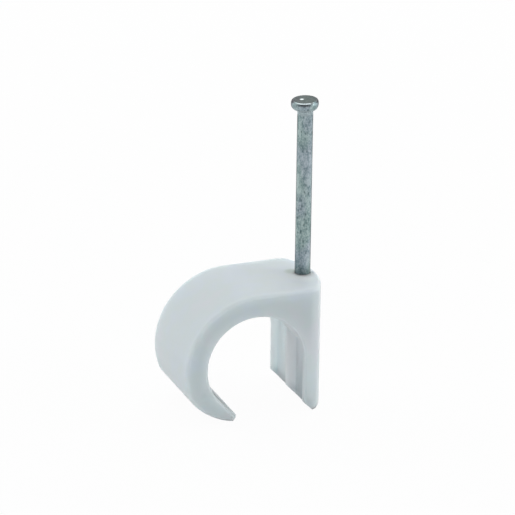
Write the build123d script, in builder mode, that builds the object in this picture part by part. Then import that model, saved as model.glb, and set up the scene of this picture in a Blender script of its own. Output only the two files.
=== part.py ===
from build123d import *
import os
from math import acos, cos, degrees, hypot, radians, sin, sqrt, tan

os.makedirs("parts", exist_ok=True)

# The origin is on the cable's axis at mid length. +X points to the leg that holds
# the nail, +Y runs along the cable and +Z points away from the wall, to the nail's
# head. Lengths are in millimetres and angles in degrees.

# Round seat for the cable, and its gap to the wall
seat_radius = 6.55
clip_depth = 12.0
wall_gap = 0.75

# Hook round the cable: a large arc, a flatter sole and a tip with a straight lead-in
hook_wall = 2.95
hook_shift = 0.05
top_wall = 2.85
heel_angle = 202.0
heel_blend_radius = 3.0
sole_wall = 2.65
tip_angle = 247.0
tip_flare = 0.38
tip_cut_angle = 62.0

# Leg beside the cable: flat inside, where it runs on from the seat, and bulged
# outside round the nail
leg_inner_wall = 1.95
leg_outer_wall = 1.8
leg_bulge_radius = 9.2
leg_corner_radius = 1.6
foot_chamfer = 1.2
foot_rim_radius = 0.2

# Two grooves in the leg's inner face, with a rounded rib between them
groove_depth = 0.75
groove_lip = 0.7
groove_top = 2.4
groove_end_radius = 0.7

# Edge rounding of the moulding
outer_edge_radius = 0.5
inner_edge_radius = 0.3

# Nail, ready to be driven
shank_radius = 1.0
nail_length = 38.0
nail_standing = 23.1
head_radius = 1.75
head_rim = 0.85
head_cone = 0.55
head_top_radius = 0.2
head_under_radius = 0.45
head_neck_radius = 0.3
point_length = 3.2
point_flat = 0.12
point_facets = 4

# Running fit of the nail in the leg
bore_clearance = 0.05

# Tools for cutting reach this far past the surface they cut
overrun = 1.0
edge_tolerance = 0.01

wall_z = -(seat_radius + wall_gap)
top_z = seat_radius + top_wall
nail_x = seat_radius + leg_inner_wall
outer_x = nail_x + leg_outer_wall
half_depth = clip_depth / 2
hook_radius = seat_radius + hook_wall
sole_radius = seat_radius + sole_wall
tip_reach = seat_radius + tip_flare


def polar(centre, radius, angle):
    """Point at a radius and an angle from a centre, in the side view."""
    return (centre[0] + radius * cos(radians(angle)), centre[1] + radius * sin(radians(angle)))


def on_end_face(edge):
    """Whether an edge lies in one of the two flat end faces of the clip."""
    return abs(abs(edge.center().Y) - half_depth) < edge_tolerance


def beside_seat(edge):
    """Whether an edge is the seat's arc or the leg's straight inner side."""
    on_arc = hypot(edge.center().X, edge.center().Z) < seat_radius - edge_tolerance
    return abs(edge.center().X - seat_radius) < edge_tolerance or (on_arc and edge.center().Z > lead_in[1])


# Points of the side view
seat_centre = (0, 0)
hook_centre = (-hook_shift, top_z - hook_radius)
heel = polar(hook_centre, hook_radius, heel_angle)
tip_inner = polar(seat_centre, tip_reach, tip_angle)
lead_in_angle = tip_angle - degrees(acos(seat_radius / tip_reach))
lead_in = polar(seat_centre, seat_radius, lead_in_angle)
tip_outer = (tip_inner[0] - (tip_inner[1] - wall_z) / tan(radians(tip_cut_angle)), wall_z)
bulge_x = outer_x - leg_bulge_radius + sqrt(leg_bulge_radius**2 - half_depth**2)

# Core that leaves the grooves, with the rib standing round the nail
with BuildPart() as groove_core:
    with BuildSketch(Plane.XZ) as groove_side:
        with BuildLine():
            Polyline(
                (0, wall_z - overrun),
                (seat_radius + groove_depth, wall_z - overrun),
                (seat_radius + groove_depth, groove_top),
                (0, groove_top),
                close=True,
            )
        make_face()
        fillet(groove_side.vertices().group_by(Axis.X)[-1].sort_by(Axis.Z)[-1], radius=groove_end_radius)
    extrude(amount=half_depth - groove_lip, both=True)
    with BuildSketch(Plane.XY.offset(wall_z - overrun)):
        with Locations((nail_x, 0)):
            Circle(leg_inner_wall)
    extrude(amount=top_z - wall_z, mode=Mode.SUBTRACT)

with BuildPart() as clip_body:
    with BuildSketch(Plane.XZ) as side:
        with BuildLine():
            CenterArc(seat_centre, seat_radius, 0, lead_in_angle)
            Polyline(
                (seat_radius, 0),
                (seat_radius, wall_z),
                (outer_x, wall_z),
                (outer_x, top_z),
                (-hook_shift, top_z),
            )
            CenterArc(hook_centre, hook_radius, 90, heel_angle - 90)
            RadiusArc(heel, tip_outer, -sole_radius)
            Polyline(tip_outer, tip_inner, lead_in)
        make_face()
        fillet(side.vertices().sort_by_distance((heel[0], 0, heel[1]))[0], radius=heel_blend_radius)
    extrude(amount=half_depth, both=True)

    # The leg's outer side bulges round the nail and its corners are rounded
    with BuildSketch(Plane.XY.offset(wall_z - overrun)) as plan:
        with BuildLine():
            Polyline(
                (bulge_x, -half_depth),
                (-hook_shift - hook_radius - overrun, -half_depth),
                (-hook_shift - hook_radius - overrun, half_depth),
                (bulge_x, half_depth),
            )
            ThreePointArc((bulge_x, half_depth), (outer_x, 0), (bulge_x, -half_depth))
        make_face()
        fillet(plan.vertices().group_by(Axis.X)[-1], radius=leg_corner_radius)
    extrude(amount=top_z - wall_z + 2 * overrun, mode=Mode.INTERSECT)

    # Outer edges of both end faces, and the rim round the top of the leg
    outer_ends = clip_body.edges().filter_by(
        lambda edge: on_end_face(edge)
        and hypot(edge.center().X, edge.center().Z) > seat_radius + overrun
        and (edge.center().X < 0 or edge.center().Z > top_z - edge_tolerance)
    )
    rim = clip_body.edges().filter_by(
        lambda edge: edge.center().Z > top_z - edge_tolerance
        and edge.center().X > bulge_x - leg_corner_radius
    )
    fillet(outer_ends + rim, radius=outer_edge_radius)

    # Finer rounding where the end faces meet the seat and the leg's inner face
    inner_ends = clip_body.edges().filter_by(lambda edge: on_end_face(edge) and beside_seat(edge))
    fillet(inner_ends, radius=inner_edge_radius)

    # Rim of the foot, and then the chamfer on its inner side
    foot_rim = clip_body.edges().filter_by(
        lambda edge: abs(edge.center().Z - wall_z) < edge_tolerance
        and edge.center().X > seat_radius + edge_tolerance
    )
    fillet(foot_rim, radius=foot_rim_radius)
    with BuildSketch(Plane.XZ):
        with BuildLine():
            Polyline(
                (seat_radius - overrun, wall_z - overrun),
                (seat_radius + foot_chamfer + overrun, wall_z - overrun),
                (seat_radius - overrun, wall_z + foot_chamfer + overrun),
                close=True,
            )
        make_face()
    extrude(amount=half_depth + overrun, both=True, mode=Mode.SUBTRACT)

    # Grooves in the leg's inner face
    add(groove_core.part, mode=Mode.SUBTRACT)

    # Nail hole through the leg
    with Locations((nail_x, 0, top_z)):
        Hole(radius=shank_radius + bore_clearance)

clip_body.part.label = "clip_body"
export_step(clip_body.part, "parts/clip_body.step")

# Nail on its own axis, standing in the leg as it is sold
head_top_z = top_z + nail_standing
point_z = head_top_z - nail_length
rim_z = head_top_z - head_rim
neck_z = rim_z - head_cone

with BuildPart() as nail:
    with BuildSketch(Plane((nail_x, 0, 0), x_dir=(1, 0, 0), z_dir=(0, -1, 0))) as half_nail:
        with BuildLine():
            Polyline(
                (0, point_z),
                (shank_radius, point_z),
                (shank_radius, neck_z),
                (head_radius, rim_z),
                (head_radius, head_top_z),
                (0, head_top_z),
                close=True,
            )
        make_face()
        corners = half_nail.vertices()
        fillet(corners.sort_by_distance((nail_x + head_radius, 0, head_top_z))[0], radius=head_top_radius)
        fillet(corners.sort_by_distance((nail_x + head_radius, 0, rim_z))[0], radius=head_under_radius)
        fillet(corners.sort_by_distance((nail_x + shank_radius, 0, neck_z))[0], radius=head_neck_radius)
    revolve(axis=Axis((nail_x, 0, 0), (0, 0, 1)))

    # Flat facets of the point, each a wedge outside the nail's last stretch
    wedge_height = point_length * (2 * shank_radius - point_flat) / (shank_radius - point_flat)
    for facet in range(point_facets):
        turn = radians(facet * 360 / point_facets)
        outwards = (cos(turn), sin(turn), 0)
        with BuildSketch(Plane((nail_x, 0, point_z), x_dir=outwards, z_dir=(sin(turn), -cos(turn), 0))):
            with BuildLine():
                Polyline(
                    (point_flat, 0),
                    (2 * shank_radius, 0),
                    (2 * shank_radius, wedge_height),
                    close=True,
                )
            make_face()
        extrude(amount=2 * shank_radius, both=True, mode=Mode.SUBTRACT)

nail.part.label = "nail"
export_step(nail.part, "parts/nail.step")
print("nail travel to its seat", nail_standing - head_rim - head_cone)
print("point above the wall plane", point_z - wall_z)
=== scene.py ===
import math

import bmesh
import bpy
from mathutils import Matrix, Vector


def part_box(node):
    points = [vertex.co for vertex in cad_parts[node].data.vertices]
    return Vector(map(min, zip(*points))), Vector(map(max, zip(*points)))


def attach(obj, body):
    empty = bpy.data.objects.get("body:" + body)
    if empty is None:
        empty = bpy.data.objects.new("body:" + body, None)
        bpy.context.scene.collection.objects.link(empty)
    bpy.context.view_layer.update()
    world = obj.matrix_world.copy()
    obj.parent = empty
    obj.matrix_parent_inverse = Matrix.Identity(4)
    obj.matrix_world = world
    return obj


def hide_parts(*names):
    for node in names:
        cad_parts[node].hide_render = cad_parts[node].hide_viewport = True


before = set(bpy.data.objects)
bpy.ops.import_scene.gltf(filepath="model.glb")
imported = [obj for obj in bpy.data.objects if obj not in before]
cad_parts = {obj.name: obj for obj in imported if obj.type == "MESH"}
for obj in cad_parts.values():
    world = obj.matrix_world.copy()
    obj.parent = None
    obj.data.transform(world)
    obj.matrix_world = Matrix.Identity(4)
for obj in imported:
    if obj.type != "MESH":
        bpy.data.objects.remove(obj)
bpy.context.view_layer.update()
mm = 0.001
print("frame loaded:", sorted(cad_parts))

# places that the pieces and their tints go by, read from the frame
clipLow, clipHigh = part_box("clip_body")
nailLow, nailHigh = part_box("nail")
nailX = (nailLow.x + nailHigh.x) / 2
wallZ = clipLow.z
topZ = clipHigh.z


# shader nodes

def newMaterial(name):
    material = bpy.data.materials.new(name)
    material.use_nodes = True
    material.node_tree.nodes.clear()
    return material, material.node_tree


def addNode(tree, kind, **settings):
    node = tree.nodes.new(kind)
    for key, value in settings.items():
        setattr(node, key, value)
    return node


# an input takes another node's socket or a plain value
def feed(tree, source, target):
    if isinstance(source, bpy.types.NodeSocket):
        tree.links.new(source, target)
    else:
        target.default_value = source


# inputs are named as in the editor, with _ for a space
def setInputs(tree, node, **sources):
    for key, source in sources.items():
        feed(tree, source, node.inputs[key.replace("_", " ")])
    return node


def newGroup(name, inputs, outputs):
    group = bpy.data.node_groups.new(name, "ShaderNodeTree")
    for socketName, kind, value in inputs:
        socket = group.interface.new_socket(name=socketName, in_out="INPUT", socket_type=kind)
        socket.default_value = value
    for socketName, kind in outputs:
        group.interface.new_socket(name=socketName, in_out="OUTPUT", socket_type=kind)
    return group, group.nodes.new("NodeGroupInput").outputs, group.nodes.new("NodeGroupOutput").inputs


def useGroup(tree, group, **sources):
    return setInputs(tree, addNode(tree, "ShaderNodeGroup", node_tree=group), **sources)


def noise(tree, vector, scale, detail, roughness):
    node = addNode(tree, "ShaderNodeTexNoise")
    setInputs(tree, node, Vector=vector, Scale=scale, Detail=detail, Roughness=roughness)
    return node.outputs["Fac"]


def maths(tree, operation, first, second):
    node = addNode(tree, "ShaderNodeMath", operation=operation)
    feed(tree, first, node.inputs[0])
    feed(tree, second, node.inputs[1])
    return node.outputs["Value"]


# lengths, distances and dot products come out as values, and the rest as vectors
def vectorMaths(tree, operation, first, second=(0, 0, 0)):
    node = addNode(tree, "ShaderNodeVectorMath", operation=operation)
    feed(tree, first, node.inputs[0])
    feed(tree, second, node.inputs[1])
    return node.outputs["Value" if operation in ("LENGTH", "DISTANCE", "DOT_PRODUCT") else "Vector"]


def axesOf(tree, vector):
    node = addNode(tree, "ShaderNodeSeparateXYZ")
    feed(tree, vector, node.inputs["Vector"])
    return node.outputs


def mix(tree, kind, mask, below, above, **settings):
    node = addNode(tree, "ShaderNodeMix", data_type=kind, **settings)
    setInputs(tree, node, Factor=mask, A=below, B=above)
    return node.outputs["Result"]


def mixShaders(tree, mask, below, above):
    node = addNode(tree, "ShaderNodeMixShader")
    for source, target in zip((mask, below, above), node.inputs):
        tree.links.new(source, target)
    return node.outputs["Shader"]


def toSurface(tree, shader, kind="ShaderNodeOutputMaterial"):
    tree.links.new(shader, addNode(tree, kind).inputs["Surface"])


def mapRange(tree, value, low, high, bottom, top, shape="SMOOTHSTEP"):
    node = addNode(tree, "ShaderNodeMapRange", interpolation_type=shape)
    setInputs(tree, node, Value=value, From_Min=low, From_Max=high, To_Min=bottom, To_Max=top)
    return node.outputs["Result"]


# three tones, from the low to the high patches of a noise
def threeTones(tree, value, spread, tones):
    node = addNode(tree, "ShaderNodeValToRGB")
    stops = node.color_ramp.elements
    stops.new(0.5)
    for index, tone in enumerate(tones):
        stops[index].position = 0.5 + (index - 1) * spread
        stops[index].color = tone
    feed(tree, value, node.inputs["Fac"])
    return node.outputs["Color"]


# a mask is a product of soft bands: each has a place, a start and an end there, and the weights
# before and after them
def bandMask(tree, places, bands):
    mask = 1.0
    for place, start, end, before, after in bands:
        socket, origin, unit = places[place]
        band = mapRange(tree, socket, origin + start * unit, origin + end * unit, before, after)
        mask = maths(tree, "MULTIPLY", mask, band)
    return mask


# lays the tints over a colour one by one
def paint(tree, color, places, tones, tints):
    for tone, *bands in tints:
        color = mix(tree, "RGBA", bandMask(tree, places, bands), color, tones[tone])
    return color


# soft patches of tone, mostly in this range: a coarse and a fine noise, mixed
cloudRange = (0.3, 0.7)


def makeCloudGroup():
    group, given, made = newGroup(
        "cloudTone",
        [("Vector", "NodeSocketVector", (0, 0, 0)), ("Coarse", "NodeSocketFloat", 120.0),
         ("Fine", "NodeSocketFloat", 900.0), ("Share", "NodeSocketFloat", 0.35)],
        [("Tone", "NodeSocketFloat")],
    )
    coarse = noise(group, given["Vector"], given["Coarse"], 2.0, 0.5)
    fine = noise(group, given["Vector"], given["Fine"], 4.0, 0.6)
    feed(group, mix(group, "FLOAT", given["Share"], coarse, fine), made["Tone"])
    return group


# small pits in clusters: cells of a set size where a slow noise is high
def makePitGroup():
    group, given, made = newGroup(
        "pitMask",
        [("Vector", "NodeSocketVector", (0, 0, 0)), ("Pits", "NodeSocketFloat", 2400.0),
         ("Clusters", "NodeSocketFloat", 260.0), ("Size", "NodeSocketFloat", 0.45)],
        [("Mask", "NodeSocketFloat")],
    )
    cells = addNode(group, "ShaderNodeTexVoronoi")
    setInputs(group, cells, Vector=given["Vector"], Scale=given["Pits"])
    slow = noise(group, given["Vector"], given["Clusters"], 1.0, 0.5)
    reach = maths(group, "MULTIPLY", mapRange(group, slow, 0.42, 0.58, 0.0, 1.0), given["Size"])
    feed(group, mapRange(group, cells.outputs["Distance"], 0.0, reach, 1.0, 0.0), made["Mask"])
    return group


cloudTone = makeCloudGroup()
pitMask = makePitGroup()


mergeDistance = 0.0005 * mm  # vertices this close are one


# a piece's mesh holds its place, and its object stays at the origin
def newPiece(name, shape, material, sharpAngle=28):
    mesh = bpy.data.meshes.new(name)
    shape.to_mesh(mesh)
    shape.free()
    mesh.set_sharp_from_angle(angle=math.radians(sharpAngle))
    mesh.materials.append(material)
    piece = bpy.data.objects.new(name, mesh)
    bpy.context.scene.collection.objects.link(piece)
    print(name, "made with", len(mesh.polygons), "faces")
    return piece


clipPlastic = {
    "tones": {
        "cool": (0.585, 0.640, 0.684, 1.0),
        "green": (0.585, 0.645, 0.656, 1.0),
        "warm": (0.611, 0.640, 0.671, 1.0),
        # the tones from here to the end of the list are painted light and painted shade
        "ribLight": (0.77, 0.84, 0.89, 1.0),
        "paintedLight": (0.775, 0.815, 0.82, 1.0),
        "shaded": (0.40, 0.45, 0.48, 1.0),
        "lipShade": (0.50, 0.55, 0.585, 1.0),
        "leadInShade": (0.22, 0.26, 0.25, 1.0),
        "nailShadow": (0.42, 0.50, 0.45, 1.0),
    },
    "toneSpread": 0.14,
    "cloud": {"Coarse": 160.0, "Fine": 650.0, "Share": 0.3},
    "roughness": (0.42, 0.56),
    "grain": (2600.0, 3.0, 0.55),  # scale, detail and roughness of the noise
    "relief": {"Strength": 0.35, "Distance": 0.012 * mm},
    "body": {"IOR": 1.5, "Specular_IOR_Level": 0.2, "Subsurface_Weight": 1.0,
             "Subsurface_Radius": (0.9, 1.0, 1.0), "Subsurface_Scale": 2.5 * mm},
    # the straight lead-in behind the hook's tip: across its face and down along it
    "leadInNormal": (0.670, 0.0, 0.742),
    "leadInRun": (0.742, 0.0, -0.670),
    # spots on the top, from the nail's axis: a painted shadow of the nail and a spot of painted light in
    # front of it
    "nailShadowPlace": (-1.25 * mm, 0.7 * mm),
    "litSpotPlace": (-0.6 * mm, -1.5 * mm),
    # each tint has a tone, and bands in millimetres as bandMask reads them: beside runs outwards
    # from the nail's axis, depth along the cable, above from the cable's axis, height from the wall
    "tints": (
        # painted light on the rib round the nail hole
        ("ribLight", ("beside", -1.35, -1.15, 1.0, 0.0), ("above", 1.9, 3.0, 1.0, 0.0),
         ("fromNail", 1.99, 2.25, 1.0, 0.0)),
        # painted light on the back of the leg's inner side
        ("paintedLight", ("beside", -4.0, -3.0, 0.0, 1.0), ("beside", -1.1, -0.9, 1.0, 0.0),
         ("above", 1.9, 3.0, 1.0, 0.0), ("depth", -0.9, 0.9, 0.0, 0.55)),
        # painted shade in the front groove, more so towards the foot
        ("shaded", ("beside", -1.9, -1.5, 0.0, 1.0), ("beside", -1.1, -0.9, 1.0, 0.0),
         ("fromNail", 1.99, 2.2, 0.0, 1.0), ("depth", -5.0, -4.5, 0.0, 1.0),
         ("depth", -2.2, -1.5, 1.0, 0.0), ("height", 0.0, 9.7, 0.62, 0.0)),
        # painted shade on the fine front edge of the seat and the leg, so that it is no paler than the faces
        # beside it
        ("lipShade", ("fromSeat", 6.8, 6.95, 0.35, 0.0), ("depth", -5.5, -5.3, 1.0, 0.0),
         ("beside", -8.0, -6.0, 0.0, 1.0)),
        # painted shade on the upper half of the lead-in
        ("leadInShade", ("acrossLeadIn", -6.61, -6.57, 0.0, 0.7), ("acrossLeadIn", -6.53, -6.49, 1.0, 0.0),
         ("beside", -10.7, -10.3, 1.0, 0.0), ("downLeadIn", 0.0, 0.25, 0.0, 1.0),
         ("downLeadIn", 0.9, 1.6, 1.0, 0.0)),
        # painted shade: a dark line along the foot's inner edge, and shade above the foot
        ("shaded", ("beside", -4.0, -3.0, 0.0, 1.0), ("beside", -1.1, -0.9, 1.0, 0.0),
         ("depth", -5.0, -4.5, 0.0, 1.0), ("height", 1.2, 1.45, 0.15, 0.0)),
        ("shaded", ("beside", -4.0, -3.0, 0.0, 1.0), ("beside", -1.3, -0.1, 1.0, 0.0),
         ("height", 0.4, 2.4, 0.6, 0.0)),
        # a painted shadow of the nail to its left, and painted light in front of it
        ("nailShadow", ("fromNailShadow", 0.4, 1.2, 0.7, 0.0)),
        ("paintedLight", ("fromLitSpot", 0.5, 2.2, 0.5, 0.0)),
    ),
}


def clipPlaces(tree, place, settings):
    x, y, z = axesOf(tree, place)
    fromNail = vectorMaths(tree, "MULTIPLY", vectorMaths(tree, "SUBTRACT", place, (nailX, 0, 0)), (1, 1, 0))
    # from the cable's axis above it, and only sideways below it
    fromSeat = addNode(tree, "ShaderNodeCombineXYZ")
    setInputs(tree, fromSeat, X=x, Z=maths(tree, "MAXIMUM", z, 0.0))
    places = {
        "beside": (x, nailX, mm),
        "depth": (y, 0.0, mm),
        "above": (z, 0.0, mm),
        "height": (z, wallZ, mm),
        "fromNail": (vectorMaths(tree, "LENGTH", fromNail), 0.0, mm),
        "fromSeat": (vectorMaths(tree, "LENGTH", fromSeat.outputs["Vector"]), 0.0, mm),
    }
    for name, direction in (("acrossLeadIn", "leadInNormal"), ("downLeadIn", "leadInRun")):
        places[name] = (vectorMaths(tree, "DOT_PRODUCT", place, settings[direction]), 0.0, mm)
    for name, spot in (("fromNailShadow", "nailShadowPlace"), ("fromLitSpot", "litSpotPlace")):
        centre = (nailX + settings[spot][0], settings[spot][1], topZ)
        places[name] = (vectorMaths(tree, "DISTANCE", place, centre), 0.0, mm)
    return places


def makeClipPlastic(settings):
    material, tree = newMaterial("clipPlastic")
    tones = settings["tones"]
    place = addNode(tree, "ShaderNodeTexCoord").outputs["Object"]
    cloud = useGroup(tree, cloudTone, Vector=place, **settings["cloud"]).outputs["Tone"]
    color = threeTones(tree, cloud, settings["toneSpread"], (tones["cool"], tones["green"], tones["warm"]))
    color = paint(tree, color, clipPlaces(tree, place, settings), tones, settings["tints"])
    roughness = mapRange(tree, cloud, *cloudRange, *settings["roughness"], "LINEAR")
    bump = addNode(tree, "ShaderNodeBump")
    setInputs(tree, bump, Height=noise(tree, place, *settings["grain"]), **settings["relief"])
    shader = addNode(tree, "ShaderNodeBsdfPrincipled")
    setInputs(tree, shader, Base_Color=color, Roughness=roughness, Normal=bump.outputs["Normal"],
              **settings["body"])
    toSurface(tree, shader.outputs["BSDF"])
    print("clip plastic mixed")
    return material


# the clip keeps its solid's form, with its triangles merged and smoothed
def makeClip(material):
    shape = bmesh.new()
    shape.from_mesh(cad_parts["clip_body"].data)
    bmesh.ops.remove_doubles(shape, verts=shape.verts, dist=mergeDistance)
    for face in shape.faces:
        face.smooth = True
    clip = newPiece("moulded_clip", shape, material)
    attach(clip, "clip")
    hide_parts("clip_body")


# the head sits a little off the shank's axis and leans towards the front
headSet = {
    "lift": 0.08 * mm,
    "shift": Vector((-0.070, 0.028, 0.0)) * mm,
    "lean": Vector((0.0441, 0.0297, 0.0)),  # slope of the top along X and Y
    "fade": (1.35 * mm, 0.8 * mm),  # depths where the shift and lean start and where they are whole
}

nailZinc = {
    "tones": {
        "light": (0.42, 0.50, 0.515, 1.0),
        "middle": (0.31, 0.39, 0.405, 1.0),
        "dark": (0.165, 0.235, 0.25, 1.0),
        "pit": (0.05, 0.085, 0.095, 1.0),
        # the next six tones carry painted shade and painted light; the first two are also the zinc's own dull
        # top and oxide
        "struckAndShaded": (0.05, 0.072, 0.066, 1.0),
        "oxideAndShade": (0.05, 0.048, 0.055, 1.0),
        "paintedHighlight": (0.80, 0.88, 0.88, 1.0),
        "grazing": (0.045, 0.045, 0.048, 1.0),
        "neck": (0.42, 0.49, 0.51, 1.0),
        "foot": (0.085, 0.115, 0.10, 1.0),
        "bluish": (1.04, 1.0, 1.06, 1.0),
        "greenish": (0.99, 1.035, 0.985, 1.0),
    },
    "toneSpread": 0.115,
    "stretch": (1.0, 1.0, 0.55),
    "mottle": {"Coarse": 1800.0, "Fine": 7000.0, "Share": 0.6},
    "pitWeight": 0.85,
    "driftScale": 330.0,
    "patchScale": 3200.0,
    "roughness": (0.5, 0.32),
    "frontSide": (-0.371, -0.928, 0.0),
    "leftSide": (-0.928, 0.371, 0.0),
    # a painted glint on the top and a nick in its edge, from the nail's axis
    "glintPlace": (-0.40 * mm, 0.245 * mm),
    "nickPlace": (0.22 * mm, -1.53 * mm),
    # bands as on the clip: level is measured from the leaning top, and patches is a noise
    "tints": (
        # painted shade, darker where the shank enters the clip
        ("foot", ("aboveClip", 0.1, 1.4, 0.4, 0.0)),
        # the struck top is duller, and darkened further as painted shade
        ("struckAndShaded", ("level", -0.03, -0.005, 0.0, 0.92), ("fromAxis", 1.45, 1.51, 1.0, 0.0)),
        # patches of oxide at its left, and a dark line of painted shade round the back and sides of the rim
        ("oxideAndShade", ("patches", 0.47, 0.56, 0.0, 0.85), ("toLeft", 0.45, 0.9, 0.0, 1.0),
         ("level", -0.09, -0.04, 0.0, 1.0)),
        ("oxideAndShade", ("level", -0.3, -0.16, 0.0, 0.9), ("fromAxis", 1.40, 1.53, 0.0, 1.0),
         ("facesFront", 0.35, 0.65, 1.0, 0.0)),
        # a painted highlight along the struck edge at the front
        ("paintedHighlight", ("fromAxis", 1.47, 1.52, 0.0, 1.0), ("level", -0.14, -0.1, 0.0, 1.0),
         ("facesFront", 0.7, 0.85, 0.0, 0.4)),
        # a painted glint on the top, and a nick
        ("paintedHighlight", ("fromGlint", 0.12, 0.34, 1.0, 0.0)),
        ("oxideAndShade", ("fromNick", 0.12, 0.28, 0.7, 0.0)),
    ),
    # painted light over the neck's shade, between these depths
    "neckBands": (("level", -0.95, -0.75, 1.0, 0.0), ("level", -1.95, -1.75, 0.0, 1.0)),
    "neckDull": 0.5,
    # painted shade on the edges seen at grazing angles
    "grazingBand": (0.53, 0.88, 0.0, 0.76),
}


def nailPlaces(tree, place, settings):
    z = axesOf(tree, place)["Z"]
    headZ = nailHigh.z + headSet["lift"]
    headAxis = Vector((nailX, 0, 0)) + headSet["shift"]
    spoke = vectorMaths(tree, "MULTIPLY", vectorMaths(tree, "SUBTRACT", place, headAxis), (1, 1, 0))
    leaning = vectorMaths(tree, "DOT_PRODUCT", spoke, headSet["lean"])
    outward = vectorMaths(tree, "NORMALIZE", spoke)
    places = {
        "aboveClip": (z, topZ, mm),
        "level": (maths(tree, "SUBTRACT", z, leaning), headZ, mm),
        "fromAxis": (vectorMaths(tree, "LENGTH", spoke), 0.0, mm),
        "toLeft": (vectorMaths(tree, "DOT_PRODUCT", spoke, settings["leftSide"]), 0.0, mm),
        "facesFront": (vectorMaths(tree, "DOT_PRODUCT", outward, settings["frontSide"]), 0.0, 1.0),
        "patches": (noise(tree, place, settings["patchScale"], 2.0, 0.5), 0.0, 1.0),
    }
    for name, spot in (("fromGlint", "glintPlace"), ("fromNick", "nickPlace")):
        centre = (nailX + settings[spot][0], settings[spot][1], headZ)
        places[name] = (vectorMaths(tree, "DISTANCE", place, centre), 0.0, mm)
    return places


def makeNailZinc(settings):
    material, tree = newMaterial("nailZinc")
    tones = settings["tones"]
    place = addNode(tree, "ShaderNodeTexCoord").outputs["Object"]
    stretch = addNode(tree, "ShaderNodeMapping")
    setInputs(tree, stretch, Vector=place, Scale=settings["stretch"])
    drawn = stretch.outputs["Vector"]
    mottle = useGroup(tree, cloudTone, Vector=drawn, **settings["mottle"]).outputs["Tone"]
    color = threeTones(tree, mottle, settings["toneSpread"], (tones["dark"], tones["middle"], tones["light"]))
    pits = useGroup(tree, pitMask, Vector=drawn).outputs["Mask"]
    color = mix(tree, "RGBA", maths(tree, "MULTIPLY", pits, settings["pitWeight"]), color, tones["pit"])
    # slow drift between a bluish and a greenish grey
    drift = mapRange(tree, noise(tree, drawn, settings["driftScale"], 1.0, 0.5), 0.4, 0.6, 0.0, 1.0)
    hue = mix(tree, "RGBA", drift, tones["bluish"], tones["greenish"])
    color = mix(tree, "RGBA", 1.0, color, hue, blend_type="MULTIPLY")
    places = nailPlaces(tree, place, settings)
    color = paint(tree, color, places, tones, settings["tints"])
    metal = addNode(tree, "ShaderNodeBsdfPrincipled")
    setInputs(tree, metal, Metallic=1.0, Base_Color=color,
              Roughness=mapRange(tree, mottle, *cloudRange, *settings["roughness"], "LINEAR"))
    # the gloss goes at grazing angles, where a dark matte paints shade on the edges, and at the neck, where
    # the zinc is rough and a paler matte paints light over its shade
    facing = addNode(tree, "ShaderNodeLayerWeight").outputs["Facing"]
    grazing = mapRange(tree, facing, *settings["grazingBand"])
    neck = bandMask(tree, places, settings["neckBands"])
    dull = addNode(tree, "ShaderNodeBsdfDiffuse")
    setInputs(tree, dull, Color=mix(tree, "RGBA", neck, tones["grazing"], tones["neck"]))
    dullShare = maths(tree, "MAXIMUM", grazing, maths(tree, "MULTIPLY", neck, settings["neckDull"]))
    toSurface(tree, mixShaders(tree, dullShare, metal.outputs["BSDF"], dull.outputs["BSDF"]))
    print("nail zinc mixed")
    return material


# the head's curve is in radii and depths below its top
nailForm = {
    "segments": 96,
    "shank": 1.0 * mm,
    "edgeSteps": (  # tilts in degrees and lengths in millimetres, from the top outwards
        (4, 0.012), (10, 0.012), (16, 0.014), (22, 0.014), (28, 0.018), (33, 0.02), (42, 0.045),
        (54, 0.06), (64, 0.07), (72, 0.08), (78, 0.07), (82, 0.07), (86, 0.09),
    ),
    "topRings": (0.5, 0.92),  # rings on the flat of the top, as shares of its radius
    "rimFoot": (1.75 * mm, 0.64 * mm),
    "rimPull": (1.74 * mm, 0.90 * mm),
    "coneMiddle": (1.47 * mm, 1.15 * mm),
    "neckPull": (1.01 * mm, 1.34 * mm),
    "neckEnd": (1.0 * mm, 1.53 * mm),
    "curveSteps": 8,
    "shankSteps": 5,
    "pointSteps": 24,
    "pointLength": 3.2 * mm,
    "pointFlat": 0.12 * mm,
}


# half outline of the nail as radius and height, from the middle of its top to its end
def nailOutline(form):
    top = nailHigh.z + headSet["lift"]
    # the struck edge is walked upwards and inwards from the widest place
    radius, drop = form["rimFoot"]
    edge = [(radius, top - drop)]
    for tilt, length in reversed(form["edgeSteps"]):
        radius -= length * mm * math.cos(math.radians(tilt))
        drop -= length * mm * math.sin(math.radians(tilt))
        edge.append((radius, top - drop))
    # what is left of the drop lifts the whole edge, so that it ends level with the top
    outline = [(0.0, top)] + [(radius * share, top) for share in form["topRings"]]
    outline += [(place, height + drop) for place, height in reversed(edge)]
    # two curves lead from the rim round the cone to the neck
    names = ("rimFoot", "rimPull", "coneMiddle", "neckPull", "neckEnd")
    points = [Vector((form[name][0], top - form[name][1])) for name in names]
    points[0].y += drop
    for first, pull, last in (points[0:3], points[2:5]):
        for step in range(1, form["curveSteps"] + 1):
            share = step / form["curveSteps"]
            point = first * (1 - share) ** 2 + pull * 2 * share * (1 - share) + last * share ** 2
            outline.append((point.x, point.y))
    # the shank, and its last stretch that the point is pressed from
    neckZ = points[-1].y
    pointZ = nailLow.z + form["pointLength"]
    stretches = ((neckZ, pointZ, form["shankSteps"]), (pointZ, nailLow.z, form["pointSteps"]))
    for start, end, steps in stretches:
        for step in range(1, steps + 1):
            outline.append((form["shank"], start + (end - start) * step / steps))
    return outline + [(0.0, nailLow.z)]


# the head's shift and lean fade out down its neck
def setHead(shape):
    start, whole = headSet["fade"]
    for vert in shape.verts:
        share = min(max((vert.co.z - nailHigh.z + start) / (start - whole), 0.0), 1.0)
        spoke = Vector((vert.co.x - nailX, vert.co.y, 0.0))
        vert.co += headSet["shift"] * share
        vert.co.z += headSet["lean"].dot(spoke) * share


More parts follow.
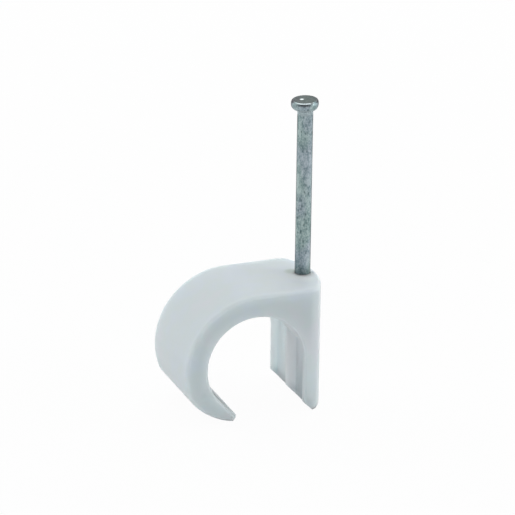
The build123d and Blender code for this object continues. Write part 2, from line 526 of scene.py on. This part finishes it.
# four slanted flats press the shank's end to a point
def pressPoint(shape, form):
    for vert in shape.verts:
        rise = (vert.co.z - nailLow.z) / form["pointLength"]
        flat = form["pointFlat"] + (form["shank"] - form["pointFlat"]) * rise
        spoke = Vector((vert.co.x - nailX, vert.co.y, 0.0))
        reach = max(abs(spoke.x), abs(spoke.y))
        if reach > flat:
            vert.co -= spoke * (1 - flat / reach)


def makeNail(material, form):
    shape = bmesh.new()
    outline = [shape.verts.new((nailX + radius, 0, height)) for radius, height in nailOutline(form)]
    for upper, lower in zip(outline[:-1], outline[1:]):
        shape.edges.new((upper, lower))
    bmesh.ops.spin(shape, geom=shape.verts[:] + shape.edges[:], cent=(nailX, 0, 0), axis=(0, 0, 1),
                   angle=math.tau, steps=form["segments"], use_merge=True)
    bmesh.ops.remove_doubles(shape, verts=shape.verts, dist=mergeDistance)
    setHead(shape)
    pressPoint(shape, form)
    bmesh.ops.recalc_face_normals(shape, faces=shape.faces)
    for face in shape.faces:
        face.smooth = True
    nail = newPiece("zinc_nail", shape, material)
    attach(nail, "nail")
    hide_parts("nail")


photoView = {
    "turn": -21.826,  # degrees round the object, above it, and about the line of sight
    "rise": 21.321,
    "roll": 0.691,
    "distance": 380.312 * mm,
    "target": Vector((2.289, 0.0, 12.197)) * mm,
    "focalPixels": 3000.0,
    "imagePixels": 515.0,
    "sensor": 36.0,
    "nearAndFar": (0.01, 20.0),
}


def aimCamera(settings):
    turn, rise, roll = (math.radians(settings[name]) for name in ("turn", "rise", "roll"))
    forward = Vector((-math.sin(turn) * math.cos(rise), math.cos(turn) * math.cos(rise), -math.sin(rise)))
    right = Vector((math.cos(turn), math.sin(turn), 0.0))
    up = right.cross(forward)
    rolledRight = right * math.cos(roll) + up * math.sin(roll)
    rolledUp = up * math.cos(roll) - right * math.sin(roll)
    data = bpy.data.cameras.new("photoCamera")
    data.sensor_width = settings["sensor"]
    data.lens = settings["focalPixels"] * settings["sensor"] / settings["imagePixels"]
    data.clip_start, data.clip_end = settings["nearAndFar"]
    camera = bpy.data.objects.new("photoCamera", data)
    bpy.context.scene.collection.objects.link(camera)
    axes = Matrix((rolledRight, rolledUp, -forward)).transposed().to_4x4()
    place = settings["target"] - forward * settings["distance"]
    camera.matrix_world = Matrix.Translation(place) @ axes
    bpy.context.scene.camera = camera
    print("camera aimed")


# camera, mirror and see-through rays meet a plain white background
def seenByEye(tree):
    path = addNode(tree, "ShaderNodeLightPath").outputs
    direct = maths(tree, "MAXIMUM", path["Is Camera Ray"], path["Is Glossy Ray"])
    return maths(tree, "MAXIMUM", direct, path["Is Transmission Ray"])


whiteRoom = {
    "strength": 0.28,
    # mirror reflections find the room dark on this side, below the ceiling
    "darkSide": (-0.371, -0.928, 0.0),
    "darkBands": (("toDarkSide", 0.25, 0.6, 0.0, 1.0), ("upwards", 0.7, 0.86, 1.0, 0.0)),
}


def makeWorld(settings):
    world = bpy.data.worlds.new("whiteRoom")
    bpy.context.scene.world = world
    world.use_nodes = True
    tree = world.node_tree
    tree.nodes.clear()
    direction = addNode(tree, "ShaderNodeTexCoord").outputs["Generated"]
    places = {
        "toDarkSide": (vectorMaths(tree, "DOT_PRODUCT", direction, settings["darkSide"]), 0.0, 1.0),
        "upwards": (axesOf(tree, direction)["Z"], 0.0, 1.0),
    }
    mirrored = addNode(tree, "ShaderNodeLightPath").outputs["Is Glossy Ray"]
    dark = maths(tree, "MULTIPLY", bandMask(tree, places, settings["darkBands"]), mirrored)
    seen = maths(tree, "SUBTRACT", 1.0, dark)
    background = addNode(tree, "ShaderNodeBackground")
    setInputs(tree, background, Strength=mix(tree, "FLOAT", seenByEye(tree), settings["strength"], seen))
    toSurface(tree, background.outputs["Background"], "ShaderNodeOutputWorld")
    print("white room made")


paleFloor = {
    "size": 3.0,
    "color": (0.74, 0.745, 0.75, 1.0),
    "glow": 0.96,  # share of plain white, and the rest shows the object's shadow
}


def makeFloor(settings):
    material, tree = newMaterial("paleFloor")
    matte = addNode(tree, "ShaderNodeBsdfDiffuse")
    setInputs(tree, matte, Color=settings["color"])
    glow = addNode(tree, "ShaderNodeEmission")
    share = maths(tree, "MULTIPLY", seenByEye(tree), settings["glow"])
    toSurface(tree, mixShaders(tree, share, matte.outputs["BSDF"], glow.outputs["Emission"]))
    sheet = bmesh.new()
    bmesh.ops.create_grid(sheet, x_segments=1, y_segments=1, size=settings["size"] / 2)
    bmesh.ops.translate(sheet, verts=sheet.verts, vec=(0, 0, wallZ))
    floor = newPiece("floor", sheet, material)


softLamps = {
    "distance": 0.5,
    # direction from the origin, power, size, and whether it shows in mirror reflections
    "lamps": {
        "topBackLamp": ((0.1, 0.42, 0.9), 2.66, 0.9, True),
        "backLeftLamp": ((-0.7, 0.7, 0.4), 0.52, 0.3, False),
        "farLeftLamp": ((-0.7, 0.7, 0.09), 0.22, 0.3, True),
        "backRightLamp": ((0.7, 0.7, 0.09), 0.98, 0.3, False),
        "rightLamp": ((1.0, 0.0, 0.09), 0.68, 0.3, False),
        "frontRightLamp": ((0.9, -0.44, 0.33), 0.73, 0.3, True),
        "frontLeftLamp": ((-0.7, -0.7, 0.17), 0.99, 0.3, False),
    },
}


def addLamp(name, direction, power, size, mirrored, distance):
    data = bpy.data.lights.new(name, "AREA")
    data.shape = "SQUARE"
    data.size = size
    data.energy = power
    lamp = bpy.data.objects.new(name, data)
    bpy.context.scene.collection.objects.link(lamp)
    lamp.location = Vector(direction).normalized() * distance
    lamp.rotation_mode = "QUATERNION"
    lamp.rotation_quaternion = (-lamp.location).to_track_quat("-Z", "Y")
    lamp.visible_glossy = mirrored


makeClip(makeClipPlastic(clipPlastic))
makeNail(makeNailZinc(nailZinc), nailForm)
aimCamera(photoView)
makeWorld(whiteRoom)
makeFloor(paleFloor)
for lampName, lampValues in softLamps["lamps"].items():
    addLamp(lampName, *lampValues, softLamps["distance"])
print("lamps placed:", len(softLamps["lamps"]))
bpy.context.scene.view_settings.view_transform = "Standard"
